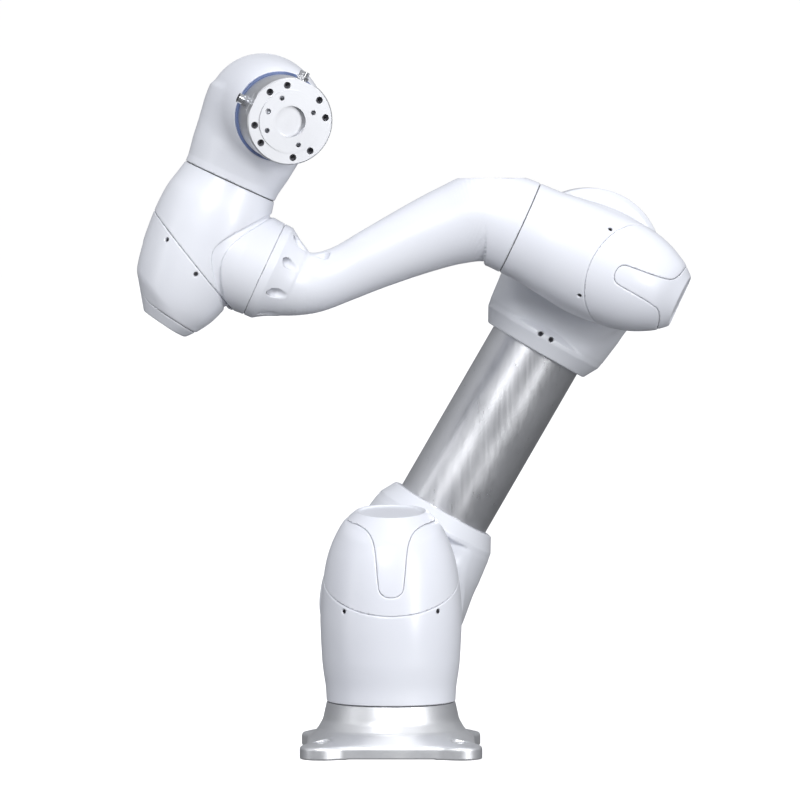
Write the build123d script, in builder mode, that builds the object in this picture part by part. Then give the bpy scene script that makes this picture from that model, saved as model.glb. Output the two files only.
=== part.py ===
"""Six-axis collaborative robot arm, built as separate named pieces.

Frame: +Z up, origin at the middle of the base's mounting face, the arm's plane is XZ and the
upper arm stands off it towards +Y. The arm is modelled in its rest pose: upper arm leaning
to +X, forearm reaching back to -X, tool flange facing -Y.
"""

import os
from math import cos, radians, sin

from build123d import *

os.makedirs("parts", exist_ok=True)

# Driving dimensions, in millimetres and degrees
SHOULDER_HEIGHT = 145.0  # mounting face to the joint 2 axis
UPPER_ARM = 409.0  # joint 2 axis to joint 3 axis
FOREARM = 368.0  # joint 3 axis to the wrist centre
FLANGE_REACH = 121.0  # wrist centre to the tool flange's face
ARM_OFFSET = 130.0  # arm's plane to the upper arm tube's axis
UPPER_TILT = 30.0  # upper arm from the vertical
FOREARM_TILT = 24.8  # forearm above the horizontal
TOOL_TURN = 15.6  # tool axis turned from -Y towards the elbow

WALL = 4.5  # cast and moulded shell thickness
END_WALL = 6.0  # thickness of the wall that carries an output hub
SEAM = 0.8  # open joint between two bodies
RUNNING = 0.05  # radial clearance of the main bearings
CABLE_HOLE = 10.0  # radius of the hollow shafts

BASE_SEAM = 52.0  # height of joint 1's seam
BASE_SIDE = 171.0  # rounded square between the bolt lobes
BASE_CORNER = 22.0
BASE_EDGE = 12.5  # plate thickness at its rim
BASE_SHOULDER = 24.0  # height where the plate meets the neck's flare
FLARE_R = 75.0
NECK_R = 65.5
BASE_ROOM_R = 54.0  # cable space under the neck
BASE_BOLTS = 140.0  # spacing of the four mounting bolts
BASE_LOBE = 22.0  # corner radius round each bolt
BOLT_R = 4.5  # clearance hole for M8
SPOT_R = 9.0
SPOT_FACE = 15.5  # height of the faces that the bolts bear on
SPOT_DEPTH = 1.5

DRUM_R = 74.0  # round ends of the upper arm
DRUM_HALF = 55.0  # drum's face to the tube's axis
DRUM_DEPTH = 98.0  # drum's face to its back cap
TUBE_R = 50.0
TUBE_WALL = 5.0
COLLAR = 109.0  # joint axis to the end of the collar round the tube
COLLAR_BAND = 22.0
TUBE_INSET = 24.0  # tube length inside each collar

ELBOW_SEAM = 80.8  # joint 3 axis to joint 4's seam, along the forearm
WRIST_SEAM = 81.0  # wrist centre to joint 5's seam
TOOL_SEAM = 70.0  # wrist centre to joint 6's seam
LINK_DROP = 147.0  # forearm link's lower end below joint 4's axis
WRIST_BOSS = 69.0  # joint 5's axis to the face that the forearm link bolts to
LINK_R = 50.5  # radius of that face

FLANGE_R = 43.5
FLANGE_BOSS_R = 31.5  # ISO 9409-1-50-4-M6
FLANGE_PCD = 50.0
FLANGE_TAP_R = 2.5  # M6 tapping size
FLANGE_BORE_R = 15.75
RIM_PCD = 72.5  # circle of the eight rim screws


def in_plane(angle):
    """Unit vector in the arm's plane, at an angle from +X towards +Z."""
    return Vector(cos(radians(angle)), 0, sin(radians(angle)))


ACROSS = Vector(0, 1, 0)
UP_ARM = in_plane(90 - UPPER_TILT)
ALONG = in_plane(180 - FOREARM_TILT)  # joint 3 to the wrist
DOWN = in_plane(270 - FOREARM_TILT)  # wrist centre along joint 5's axis
TOOL = ALONG * -sin(radians(TOOL_TURN)) - ACROSS * cos(radians(TOOL_TURN))

SHOULDER = Vector(0, 0, SHOULDER_HEIGHT)
ELBOW = SHOULDER + UP_ARM * UPPER_ARM
WRIST = ELBOW + ALONG * FOREARM

# Each joint's frame: origin on the seam, local Z into the housing that holds the motor,
# local X towards the link on that housing's side.
DRUM_FACE = ARM_OFFSET - DRUM_HALF
J1 = Plane(origin=(0, 0, BASE_SEAM), x_dir=ACROSS, z_dir=(0, 0, 1))
J2 = Plane(origin=SHOULDER + ACROSS * DRUM_FACE, x_dir=UP_ARM, z_dir=ACROSS)
J3 = Plane(origin=ELBOW + ACROSS * DRUM_FACE, x_dir=-UP_ARM, z_dir=ACROSS)
J4 = Plane(origin=ELBOW + ALONG * ELBOW_SEAM, x_dir=ACROSS, z_dir=-ALONG)
J5 = Plane(origin=WRIST + DOWN * WRIST_SEAM, x_dir=-ALONG, z_dir=DOWN)
J6 = Plane(origin=WRIST + TOOL * TOOL_SEAM, x_dir=DOWN, z_dir=-TOOL)


def section(frame):
    """The plane of a half section: its X is the frame's X and its Y runs along the axis."""
    return Plane(origin=frame.origin, x_dir=frame.x_dir, z_dir=-frame.y_dir)


def spin(frame):
    """The axis of a joint's frame."""
    return Axis(frame.origin, frame.z_dir)


def side_frame(frame, height):
    """Plane on the joint's axis at a height, looking along the frame's X, for side bosses."""
    return Plane(
        origin=frame.from_local_coords((0, 0, height)), x_dir=frame.y_dir, z_dir=frame.x_dir
    )


def keep(builder, name):
    """Label a finished piece and write its STEP file."""
    builder.part.label = name
    export_step(builder.part, f"parts/{name}.step")


def ring(frame, inner, outer, low, high):
    """A plain ring about a joint's axis."""
    with BuildPart() as made:
        with BuildSketch(frame.offset(low)):
            Circle(outer)
            if inner > 0:
                Circle(inner, mode=Mode.SUBTRACT)
        extrude(amount=high - low)
    return made.part


def barrel(frame, outline, rim_r, end, inset=0.0):
    """A closed body of revolution. outline is (radius, height) from the seam to the corner."""
    points = [(r - inset, z) for r, z in outline]
    points[0] = (points[0][0], inset)
    with BuildPart() as made:
        with BuildSketch(section(frame)):
            with BuildLine():
                Spline(*points)
                Polyline(
                    points[-1], (rim_r - inset, end - inset), (0, end - inset), (0, inset), points[0]
                )
            make_face()
        revolve(axis=spin(frame))
    return made.part


# Joint drives ----------------------------------------------------------------------------------
# name: (frame, hub radius, gear radius, length of the drive)
DRIVES = {
    "j1": (J1, 40.0, 56.0, 92.0),
    "j2": (J2, 40.0, 56.0, 84.0),
    "j3": (J3, 38.0, 52.0, 84.0),
    "j4": (J4, 28.0, 40.0, 84.0),
    "j5": (J5, 28.0, 40.0, 84.0),
    "j6": (J6, 28.0, 40.0, 84.0),
}
# radius of the narrower of the two faces at each seam
SEAM_RADIUS = {"j1": 65.5, "j2": 62.0, "j3": 56.0, "j4": 49.6, "j5": 49.5, "j6": 46.0}
BEARING_TOP = 14.0
SPLINE_TOP = 34.0
CUP_WALL = 2.0
SPLINE_WALL = 8.0
SHAFT_R = 13.0

for name, (frame, hub_r, gear_r, length) in DRIVES.items():
    cup_r = gear_r - SPLINE_WALL - RUNNING
    with BuildPart() as hub:
        with BuildSketch(section(frame)):
            with BuildLine():
                Polyline(
                    (CABLE_HOLE, -SEAM - END_WALL),
                    (hub_r, -SEAM - END_WALL),
                    (hub_r, BEARING_TOP),
                    (cup_r, BEARING_TOP),
                    (cup_r, SPLINE_TOP - 2),
                    (cup_r - CUP_WALL, SPLINE_TOP - 2),
                    (cup_r - CUP_WALL, BEARING_TOP + CUP_WALL),
                    (CABLE_HOLE, BEARING_TOP + CUP_WALL),
                    close=True,
                )
            make_face()
        revolve(axis=spin(frame))
    keep(hub, f"{name}_output_hub")

    # circular spline and the main bearing's outer race in one ring
    with BuildPart() as ring_gear:
        add(ring(frame, gear_r - SPLINE_WALL, gear_r, 1.0, SPLINE_TOP))
        add(ring(frame, hub_r + RUNNING, gear_r, 1.0, BEARING_TOP - 0.4))
    keep(ring_gear, f"{name}_ring_gear")

    with BuildPart() as stator:
        add(ring(frame, gear_r - 16, gear_r, SPLINE_TOP + 4, length - 24))
    keep(stator, f"{name}_motor_stator")

    with BuildPart() as rotor:
        add(ring(frame, CABLE_HOLE, SHAFT_R, BEARING_TOP + CUP_WALL + 1, length))
        add(ring(frame, SHAFT_R, cup_r - CUP_WALL - 0.6, BEARING_TOP + CUP_WALL + 3, SPLINE_TOP - 4))
        add(ring(frame, SHAFT_R, gear_r - 16.6, SPLINE_TOP + 6, length - 26))
    keep(rotor, f"{name}_motor_rotor")

    if name == "j6":
        continue  # the status light ring closes this seam
    with BuildPart() as seal:
        add(ring(frame, hub_r + 2, SEAM_RADIUS[name] - 1.2, -SEAM + 0.3, 0))
    keep(seal, f"{name}_seal")


def drive_seat(name, depth):
    """The hollow inside a housing: room for the drive, open at the seam for its hub."""
    frame, hub_r, gear_r = DRIVES[name][:3]
    with BuildPart() as hollow:
        add(ring(frame, 0, gear_r, 1.0, depth))
        add(ring(frame, 0, hub_r + 1.5, -1.0, 1.5))
    return hollow.part


def hub_hole(name):
    """The hole in a link's end wall that a drive's hub is bolted into."""
    frame, hub_r = DRIVES[name][:2]
    return ring(frame, 0, hub_r, -SEAM - END_WALL, -SEAM + 1)


# Barrel housings -------------------------------------------------------------------------------
# Outline from the seam to the corner of the end cap, rim of the end face, total length
SHOULDER_BARREL = ([(65.5, 0), (70.2, 43), (70.8, 104), (64.2, 149), (47.0, 185)], 35.0, 194.0)
ELBOW_BARREL = ([(49.6, 0), (54.0, 48), (55.6, 106), (48.5, 145), (37.5, 170)], 27.5, 179.0)
WRIST_BARREL = ([(49.5, 0), (57.0, 40), (55.2, 88), (48.8, 120), (35.5, 149)], 25.0, 160.0)
HEAD_BARREL = ([(46.0, 0), (53.0, 25), (55.0, 62), (50.0, 97), (38.0, 121)], 27.0, 130.0)


def tongue_prism(frame, corner_r, corner, tip, half_width):
    """The end cap's region: everything past the corner, and a tongue down the side away from
    the link."""
    flare = corner - 12
    back = Plane(origin=frame.origin, x_dir=frame.y_dir, z_dir=-frame.x_dir)
    # the sketch's Y must run up the barrel's axis
    upright = -1 if back.y_dir.dot(frame.z_dir) < 0 else 1
    with BuildPart() as made:
        with BuildSketch(back):
            with BuildLine():
                low = (-half_width * 0.9, upright * (tip + half_width))
                high = (half_width * 0.9, upright * (tip + half_width))
                ThreePointArc(low, (0, upright * tip), high)
                right = (half_width * 1.25, upright * (flare - 12))
                left = (-half_width * 1.25, upright * (flare - 12))
                Line(high, right)
                Line(right, (corner_r + 2, upright * corner))
                Line((corner_r + 2, upright * corner), (-corner_r - 2, upright * corner))
                Line((-corner_r - 2, upright * corner), left)
                Line(left, low)
            make_face()
        extrude(amount=120)
        add(ring(frame, 0, 90, corner, corner + 60))
    return made.part


def side_boss(frame, height, outline):
    """A boss about the frame's X axis. outline is (radius, distance from the barrel's axis)."""
    side = side_frame(frame, height)
    with BuildPart() as made:
        with BuildSketch(section(side)):
            with BuildLine():
                Polyline((0, outline[0][1]), *outline, (0, outline[-1][1]), close=True)
            make_face()
        revolve(axis=spin(side))
    return made.part


def narrower(outline, wall, end_wall):
    """The inside of a boss: its outline drawn in by the wall, stopping at the end wall."""
    inside = [(r - wall, z) for r, z in outline]
    inside[-1] = (inside[-1][0], outline[-1][1] - end_wall)
    return inside


def screw_plane(frame, angle, height, radius):
    """Plane on a barrel's surface facing outwards, at an angle from the side away from the link."""
    out = frame.y_dir * sin(radians(angle)) - frame.x_dir * cos(radians(angle))
    centre = frame.from_local_coords((0, 0, height)) + out * radius
    return Plane(origin=centre, x_dir=frame.z_dir, z_dir=out)


def sunk_screws(planes, radius, length, sunk, socket):
    """Cap screws sunk below a surface, one on each plane."""
    with BuildPart() as made:
        for plane in planes:
            with BuildSketch(plane.offset(-sunk)):
                Circle(radius)
            extrude(amount=-length)
            with BuildSketch(plane.offset(-sunk)):
                RegularPolygon(socket, 6)
            extrude(amount=-length / 3, mode=Mode.SUBTRACT)
    return made


def screw_holes(planes, radius, depth):
    """The holes that the sunk screws fill."""
    with BuildPart() as made:
        for plane in planes:
            with BuildSketch(plane.offset(4)):
                Circle(radius)
            extrude(amount=-depth - 4)
    return made.part


COVER_SCREW_R = 1.8
COVER_SCREW = 5.0
SUNK = 1.2


def barrel_set(name, frame, shape, drive, side, boss, cut, slant, tongue, screws):
    """A barrel housing in three pieces: housing with its side boss, slanted cover, tongued cap.

    side is the boss's height on the barrel, cut the height of the slanted joint on the side
    away from the boss, tongue its tip height and half width, screws (angle, height, radius).
    """
    outline, rim_r, end = shape
    corner_r, corner = outline[-1]
    front_r = outline[1][0]
    slant_plane = Plane(
        origin=frame.from_local_coords((-front_r, 0, cut)),
        z_dir=frame.z_dir * cos(radians(slant)) - frame.x_dir * sin(radians(slant)),
    )
    drive_room = drive_seat(drive, DRIVES[drive][3] + 4)
    full = barrel(frame, outline, rim_r, end)
    hollow = barrel(frame, outline, rim_r, end, WALL)
    boss_outside = side_boss(frame, side, boss)
    boss_inside = side_boss(frame, side, narrower(boss, WALL, END_WALL))
    cap_region = tongue_prism(frame, corner_r, corner, *tongue)
    past_corner = ring(frame, 0, 90, corner, corner + 60)
    planes = [screw_plane(frame, *spot) for spot in screws]

    with BuildPart() as housing:
        add(full)
        split(bisect_by=slant_plane, keep=Keep.BOTTOM)
        add(boss_outside)
        add(hollow, mode=Mode.SUBTRACT)
        add(boss_inside, mode=Mode.SUBTRACT)
        add(ring(frame, SEAM_RADIUS[drive] - WALL - 8, SEAM_RADIUS[drive] - 1, 0, 6))
        add(drive_room, mode=Mode.SUBTRACT)
        add(past_corner, mode=Mode.SUBTRACT)
        if screws:
            add(screw_holes(planes, COVER_SCREW_R, SUNK + COVER_SCREW), mode=Mode.SUBTRACT)
    with BuildPart() as cover:
        add(full)
        split(bisect_by=slant_plane, keep=Keep.TOP)
        add(hollow, mode=Mode.SUBTRACT)
        add(cap_region, mode=Mode.SUBTRACT)
        add(boss_outside, mode=Mode.SUBTRACT)
        if screws:
            add(screw_holes(planes, COVER_SCREW_R, SUNK + COVER_SCREW), mode=Mode.SUBTRACT)
    with BuildPart() as cap:
        add(full)
        add(hollow, mode=Mode.SUBTRACT)
        add(cap_region, mode=Mode.INTERSECT)
    pieces = {"housing": housing, "cover": cover, "cap": cap}
    if screws:
        pieces["cover_screws"] = sunk_screws(planes, COVER_SCREW_R, COVER_SCREW, SUNK, 1.1)
    return {f"{name}_{label}": piece for label, piece in pieces.items()}


def cut_with(builder, *tools):
    """Subtract tools from a finished piece."""
    with BuildPart() as made:
        add(builder.part)
        for tool in tools:
            add(tool, mode=Mode.SUBTRACT)
    return made


# Shoulder: turns on the base about joint 1 and carries joint 2's hub on its side
shoulder = barrel_set(
    "shoulder", J1, SHOULDER_BARREL, "j1",
    side=SHOULDER_HEIGHT - BASE_SEAM,
    boss=[(62.0, 20.0), (62.0, DRUM_FACE - SEAM)],
    cut=91.0, slant=27.0, tongue=(110.0, 15.0),
    screws=[(42, 95, 72.0), (-42, 95, 72.0)],
)
shoulder["shoulder_housing"] = cut_with(shoulder["shoulder_housing"], hub_hole("j2"))

# Elbow: turns about joint 3 and holds joint 4's drive
elbow = barrel_set(
    "elbow", J4, ELBOW_BARREL, "j4",
    side=ELBOW_SEAM,
    boss=[(52.0, 20.0), (52.0, 60.0), (56.0, DRUM_FACE - SEAM)],
    cut=77.0, slant=37.0, tongue=(104.0, 10.5),
    screws=[(42, 82, 55.6), (-42, 82, 55.6)],
)
elbow["elbow_housing"] = cut_with(elbow["elbow_housing"], hub_hole("j3"))

# Wrist: bolted to the forearm link, holds joint 5's drive
wrist = barrel_set(
    "wrist", J5, WRIST_BARREL, "j5",
    side=LINK_DROP - WRIST_SEAM,
    boss=[(53.0, 20.0), (53.0, 45.0), (LINK_R, WRIST_BOSS)],
    cut=59.0, slant=27.0, tongue=(92.0, 10.5),
    screws=[(55, 79, 55.0), (-55, 79, 55.0), (100, 98, 52.8), (-100, 98, 52.8)],
)

# Head: turns about joint 5 on its neck and holds joint 6's drive
head = barrel_set(
    "head", J6, HEAD_BARREL, "j6",
    side=TOOL_SEAM,
    boss=[(57.0, 12.0), (56.5, 30.0), (53.5, 55.0), (49.5, WRIST_SEAM - SEAM)],
    cut=66.0, slant=24.0, tongue=(90.0, 10.0),
    screws=[],
)
head["head_housing"] = cut_with(head["head_housing"], hub_hole("j5"))

for label, piece in {**shoulder, **elbow, **wrist, **head}.items():
    keep(piece, label)

# Base ------------------------------------------------------------------------------------------
bolt = BASE_BOLTS / 2
bolt_spots = [(x, y) for x in (-bolt, bolt) for y in (-bolt, bolt)]
neck_top = BASE_SEAM - SEAM
with BuildPart() as base:
    with BuildSketch():
        RectangleRounded(BASE_SIDE, BASE_SIDE, BASE_CORNER)
        with Locations(*bolt_spots):
            Circle(BASE_LOBE)
    extrude(amount=BASE_EDGE)
    with BuildSketch(Plane.XZ):
        with BuildLine():
            Polyline(
                (BASE_SIDE / 2 - 0.5, BASE_EDGE - 1), (0, BASE_EDGE - 1), (0, neck_top), (NECK_R, neck_top)
            )
            Spline((NECK_R, neck_top), (67.6, 42.0), (69.5, 34.0), (72.1, 29.0), (FLARE_R, BASE_SHOULDER))
            Polyline(
                (FLARE_R, BASE_SHOULDER), (BASE_SIDE / 2 - 0.5, BASE_EDGE),
                (BASE_SIDE / 2 - 0.5, BASE_EDGE - 1),
            )
        make_face()
    revolve(axis=Axis.Z)
    with BuildSketch(Plane.XY.offset(BASE_EDGE)):
        with Locations(*bolt_spots):
            Circle(SPOT_R + 4)
    extrude(amount=SPOT_FACE + SPOT_DEPTH - BASE_EDGE)
    with BuildSketch(Plane.XY):
        Circle(BASE_ROOM_R)
    extrude(amount=neck_top - END_WALL, mode=Mode.SUBTRACT)
    add(hub_hole("j1"), mode=Mode.SUBTRACT)
    with Locations(*[(x, y, SPOT_FACE + SPOT_DEPTH) for x, y in bolt_spots]):
        CounterBoreHole(BOLT_R, SPOT_R, SPOT_DEPTH)
    # mouth of the cable socket, through the neck at the back
    with BuildSketch(Plane(origin=(0, 0, 27), x_dir=(1, 0, 0), z_dir=(0, 1, 0))):
        Circle(11)
    extrude(amount=100, mode=Mode.SUBTRACT)
keep(base, "base_casting")

SOCKET = Plane(origin=(0, 50, 27), x_dir=(1, 0, 0), z_dir=(0, 1, 0))
with BuildPart() as socket:
    with BuildSketch(SOCKET):
        Circle(11)
    extrude(amount=34)
    with BuildSketch(SOCKET.offset(34)):
        Circle(8)
    extrude(amount=-14, mode=Mode.SUBTRACT)
    with BuildSketch(SOCKET.offset(20)):
        with PolarLocations(4.5, 6):
            Circle(0.9)
    extrude(amount=9)
keep(socket, "base_cable_socket")

# Upper arm -------------------------------------------------------------------------------------
BAND_START = COLLAR - COLLAR_BAND
CLAMP_SCREW_R = 2.0


def arm_end(name, frame, drive):
    """One end of the upper arm: a drum about the joint's axis and a collar round the tube."""
    centre = frame.origin + ACROSS * DRUM_HALF
    tube = Plane(origin=centre, x_dir=ACROSS, z_dir=frame.x_dir)
    side = Plane(origin=centre, x_dir=frame.x_dir, z_dir=tube.y_dir)
    # sketch axes of the side plane: X along the tube, Y across the arm, towards or from the base
    facing = 1 if side.y_dir.dot(ACROSS) > 0 else -1
    planes = [
        Plane(
            origin=tube.from_local_coords((0, 0, BAND_START + 4))
            + (tube.x_dir * cos(radians(a)) + tube.y_dir * sin(radians(a))) * 64.6,
            x_dir=frame.x_dir,
            z_dir=tube.x_dir * cos(radians(a)) + tube.y_dir * sin(radians(a)),
        )
        for quarter in range(4)
        for a in (90 * quarter - 5.5, 90 * quarter + 5.5)
    ]
    with BuildPart() as housing:
        with BuildSketch(section(tube)):
            with BuildLine():
                Polyline(
                    (0, 20), (70, 20), (65, BAND_START), (64.6, COLLAR - 10), (57, COLLAR), (0, COLLAR),
                    close=True,
                )
            make_face()
        revolve(axis=spin(tube))
        for face in (-1, 1):
            with BuildSketch(side):
                with BuildLine():
                    Polyline(
                        (-120, face * DRUM_HALF), (72, face * DRUM_HALF),
                        (BAND_START, face * 65.2), (BAND_START, face * 100), (-120, face * 100),
                        close=True,
                    )
                make_face()
            extrude(amount=120, both=True, mode=Mode.SUBTRACT)
        with BuildSketch(section(frame)):
            with BuildLine():
                Polyline(
                    (0, 0), (68, 0), (DRUM_R, 7), (DRUM_R, DRUM_DEPTH), (0, DRUM_DEPTH), close=True
                )
            make_face()
        revolve(axis=spin(frame))
        add(ring(frame, 0, DRUM_R, DRUM_DEPTH, DRUM_DEPTH + 40), mode=Mode.SUBTRACT)
        add(drive_seat(drive, DRUM_DEPTH + 1), mode=Mode.SUBTRACT)
        add(ring(tube, 0, TUBE_R - TUBE_WALL, 40, COLLAR), mode=Mode.SUBTRACT)
        add(ring(tube, 0, TUBE_R, COLLAR - TUBE_INSET, COLLAR + 1), mode=Mode.SUBTRACT)
        add(screw_holes(planes, CLAMP_SCREW_R, 9.0), mode=Mode.SUBTRACT)
    with BuildPart() as cap:
        with BuildSketch(section(frame)):
            with BuildLine():
                Line((0, DRUM_DEPTH), (DRUM_R, DRUM_DEPTH))
                Spline((DRUM_R, DRUM_DEPTH), (70.0, 109), (54.0, 117))
                Polyline((54.0, 117), (46.0, 114.5), (0, 114.5), (0, DRUM_DEPTH))
            make_face()
        revolve(axis=spin(frame))
        add(ring(frame, 0, DRUM_R - 10, DRUM_DEPTH - 1, 110), mode=Mode.SUBTRACT)
    return {
        f"{name}_arm_end": housing,
        f"{name}_arm_end_cap": cap,
        f"{name}_clamp_screws": sunk_screws(planes, CLAMP_SCREW_R, 7.0, 2.0, 1.2),
    }


for label, piece in {**arm_end("lower", J2, "j2"), **arm_end("upper", J3, "j3")}.items():
    keep(piece, label)

TUBE = Plane(
    origin=SHOULDER + ACROSS * ARM_OFFSET + UP_ARM * (COLLAR - TUBE_INSET), x_dir=ACROSS, z_dir=UP_ARM
)
with BuildPart() as arm_tube:
    add(ring(TUBE, TUBE_R - TUBE_WALL, TUBE_R, 0, UPPER_ARM - 2 * (COLLAR - TUBE_INSET)))
keep(arm_tube, "arm_tube")

# Forearm link ----------------------------------------------------------------------------------
# Stations along the bent link: distance from joint 3, drop below joint 4's axis, radius, slope
LINK_END = FOREARM - WRIST_BOSS
STATIONS = [
    (ELBOW_SEAM + SEAM, 0.0, 49.6, 0),
    (119.0, 5.5, 46.5, 18),
    (143.0, 25.0, 41.0, 40),
    (168.0, 51.0, 36.5, 51),
    (200.0, 88.0, 31.5, 53),
    (226.0, 119.0, 28.5, 43),
    (249.0, 139.0, 31.0, 20),
    (273.0, 146.5, 38.0, 3),
    (LINK_END, LINK_DROP, LINK_R, 0),
]


def station_plane(along, drop, slope):
    """The plane of one round section of the link."""
    heading = ALONG * cos(radians(slope)) + DOWN * sin(radians(slope))
    return Plane(origin=ELBOW + ALONG * along + DOWN * drop, x_dir=ACROSS, z_dir=heading)


def bent_bar(stations, wall):
    """A loft through the round sections, each drawn in by the wall."""
    with BuildPart() as made:
        for along, drop, radius, slope in stations:
            with BuildSketch(station_plane(along, drop, slope)):
                Circle(radius - wall)
        loft()
    return made.part


inner_stations = list(STATIONS)
inner_stations[0] = (STATIONS[0][0] + END_WALL, 0.2, 49.4, 1)
inner_stations[-1] = (LINK_END - END_WALL, LINK_DROP, 47.0, 0)
LINK_FACE = station_plane(LINK_END, LINK_DROP, 0)
LINK_SCREW_PCD = 84.0
LINK_SCREWS = 8
with BuildPart() as link:
    add(bent_bar(STATIONS, 0))
    add(bent_bar(inner_stations, WALL), mode=Mode.SUBTRACT)
    add(hub_hole("j4"), mode=Mode.SUBTRACT)
    with BuildSketch(LINK_FACE.offset(1)):
        Circle(20)
    extrude(amount=-END_WALL - 3, mode=Mode.SUBTRACT)
    # pockets that let the screwdriver reach the screws
    with BuildSketch(LINK_FACE.offset(-END_WALL)):
        with PolarLocations(LINK_SCREW_PCD / 2, LINK_SCREWS, start_angle=22.5):
            Circle(4.6)
    extrude(amount=-34, mode=Mode.SUBTRACT)
    with BuildSketch(LINK_FACE.offset(1)):
        with PolarLocations(LINK_SCREW_PCD / 2, LINK_SCREWS, start_angle=22.5):
            Circle(2.5)
    extrude(amount=-END_WALL - 2, mode=Mode.SUBTRACT)
keep(link, "forearm_link")

with BuildPart() as link_screws:
    with BuildSketch(LINK_FACE.offset(-END_WALL)):
        with PolarLocations(LINK_SCREW_PCD / 2, LINK_SCREWS, start_angle=22.5):
            Circle(4.2)
    extrude(amount=-5)
    with BuildSketch(LINK_FACE.offset(-END_WALL)):
        with PolarLocations(LINK_SCREW_PCD / 2, LINK_SCREWS, start_angle=22.5):
            Circle(2.5)
    extrude(amount=END_WALL)
    with BuildSketch(LINK_FACE.offset(-END_WALL - 5)):
        with PolarLocations(LINK_SCREW_PCD / 2, LINK_SCREWS, start_angle=22.5):
            RegularPolygon(2.2, 6)
    extrude(amount=3, mode=Mode.SUBTRACT)
keep(link_screws, "forearm_link_screws")

# Tool end --------------------------------------------------------------------------------------
LIGHT_DEPTH = 3.5
with BuildPart() as light:
    add(ring(J6, 38.0, 45.2, -LIGHT_DEPTH, 0))
keep(light, "status_light_ring")

TOOL_SIDE = ACROSS * sin(radians(TOOL_TURN)) - ALONG * cos(radians(TOOL_TURN))
FLANGE = Plane(origin=WRIST + TOOL * FLANGE_REACH, x_dir=TOOL_SIDE, z_dir=TOOL)
FLANGE_BACK = TOOL_SEAM + LIGHT_DEPTH + SEAM - FLANGE_REACH  # on the flange's axis, below its face
COLLAR_R = 42.5
DISC_BACK = -14.0
FLAT = 41.8
CONNECTOR_SEAT = 36.0  # from the flange's axis to the foot of a connector
CONNECTOR = 15.5
CONNECTOR_BACK = 29.0  # below the flange's face
TAP_DEPTH = 12.0
SPIGOT_DEPTH = 6.0
HOLE_START = 45.0
RIM_HEAD_R = 3.5
RIM_HEAD = 4.0
RIM_SEAT = 9.6  # depth of the rim screws' counterbores
RIM_SHANK_R = 1.75
RIM_SHANK = 8.0
PIN_HOLE_R = 3.0
rim_angles = [HOLE_START + 90 * n + side for n in range(4) for side in (-15, 15)]
connector_angles = [90, 180]


def on_flange(angle, radius):
    """A point of the flange's sketch."""
    return (radius * cos(radians(angle)), radius * sin(radians(angle)))


with BuildPart() as flange:
    with BuildSketch(section(FLANGE)):
        with BuildLine():
            Polyline(
                (0, FLANGE_BACK), (COLLAR_R, FLANGE_BACK), (COLLAR_R, DISC_BACK - 3),
                (COLLAR_R - 2, DISC_BACK), (FLANGE_R, DISC_BACK), (FLANGE_R, -2.2),
                (FLANGE_R - 1.2, -1.0), (FLANGE_BOSS_R, -1.0), (FLANGE_BOSS_R, 0), (0, 0), close=True,
            )
        make_face()
    revolve(axis=spin(FLANGE))
    # flats in the disc's rim beside the two connectors
    for angle in connector_angles:
        out = FLANGE.x_dir * cos(radians(angle)) + FLANGE.y_dir * sin(radians(angle))
        with BuildSketch(Plane(origin=FLANGE.origin + out * FLAT, x_dir=FLANGE.z_dir, z_dir=out)):
            Rectangle(60, 60)
        extrude(amount=10, mode=Mode.SUBTRACT)
        seat = Plane(
            origin=FLANGE.origin + out * CONNECTOR_SEAT - TOOL * CONNECTOR_BACK, x_dir=TOOL, z_dir=out
        )
        with BuildSketch(seat):
            Circle(5.0)
        extrude(amount=10, mode=Mode.SUBTRACT)
    add(hub_hole("j6"), mode=Mode.SUBTRACT)
    with BuildSketch(FLANGE):
        Circle(FLANGE_BORE_R)
        with Locations(on_flange(180, FLANGE_PCD / 2)):
            Circle(PIN_HOLE_R)
    extrude(amount=-SPIGOT_DEPTH, mode=Mode.SUBTRACT)
    with BuildSketch(FLANGE):
        with Locations(*[on_flange(HOLE_START + 90 * n, FLANGE_PCD / 2) for n in range(4)]):
            Circle(FLANGE_TAP_R)
    extrude(amount=-TAP_DEPTH, mode=Mode.SUBTRACT)
    with BuildSketch(FLANGE):
        with Locations(*[on_flange(a, RIM_PCD / 2) for a in rim_angles]):
            Circle(RIM_HEAD_R)
    extrude(amount=-RIM_SEAT, mode=Mode.SUBTRACT)
    with BuildSketch(FLANGE):
        with Locations(*[on_flange(a, RIM_PCD / 2) for a in rim_angles]):
            Circle(RIM_SHANK_R)
    extrude(amount=-RIM_SEAT - RIM_SHANK, mode=Mode.SUBTRACT)
keep(flange, "tool_flange")

with BuildPart() as rim_screws:
    with BuildSketch(FLANGE.offset(-RIM_SEAT)):
        with Locations(*[on_flange(a, RIM_PCD / 2) for a in rim_angles]):
            Circle(RIM_HEAD_R - 0.3)
    extrude(amount=RIM_HEAD)
    with BuildSketch(FLANGE.offset(-RIM_SEAT)):
        with Locations(*[on_flange(a, RIM_PCD / 2) for a in rim_angles]):
            Circle(RIM_SHANK_R)
    extrude(amount=-RIM_SHANK)
    with BuildSketch(FLANGE.offset(-RIM_SEAT + RIM_HEAD)):
        with Locations(*[on_flange(a, RIM_PCD / 2) for a in rim_angles]):
            RegularPolygon(1.8, 6)
    extrude(amount=-2.5, mode=Mode.SUBTRACT)
keep(rim_screws, "tool_flange_screws")

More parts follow.
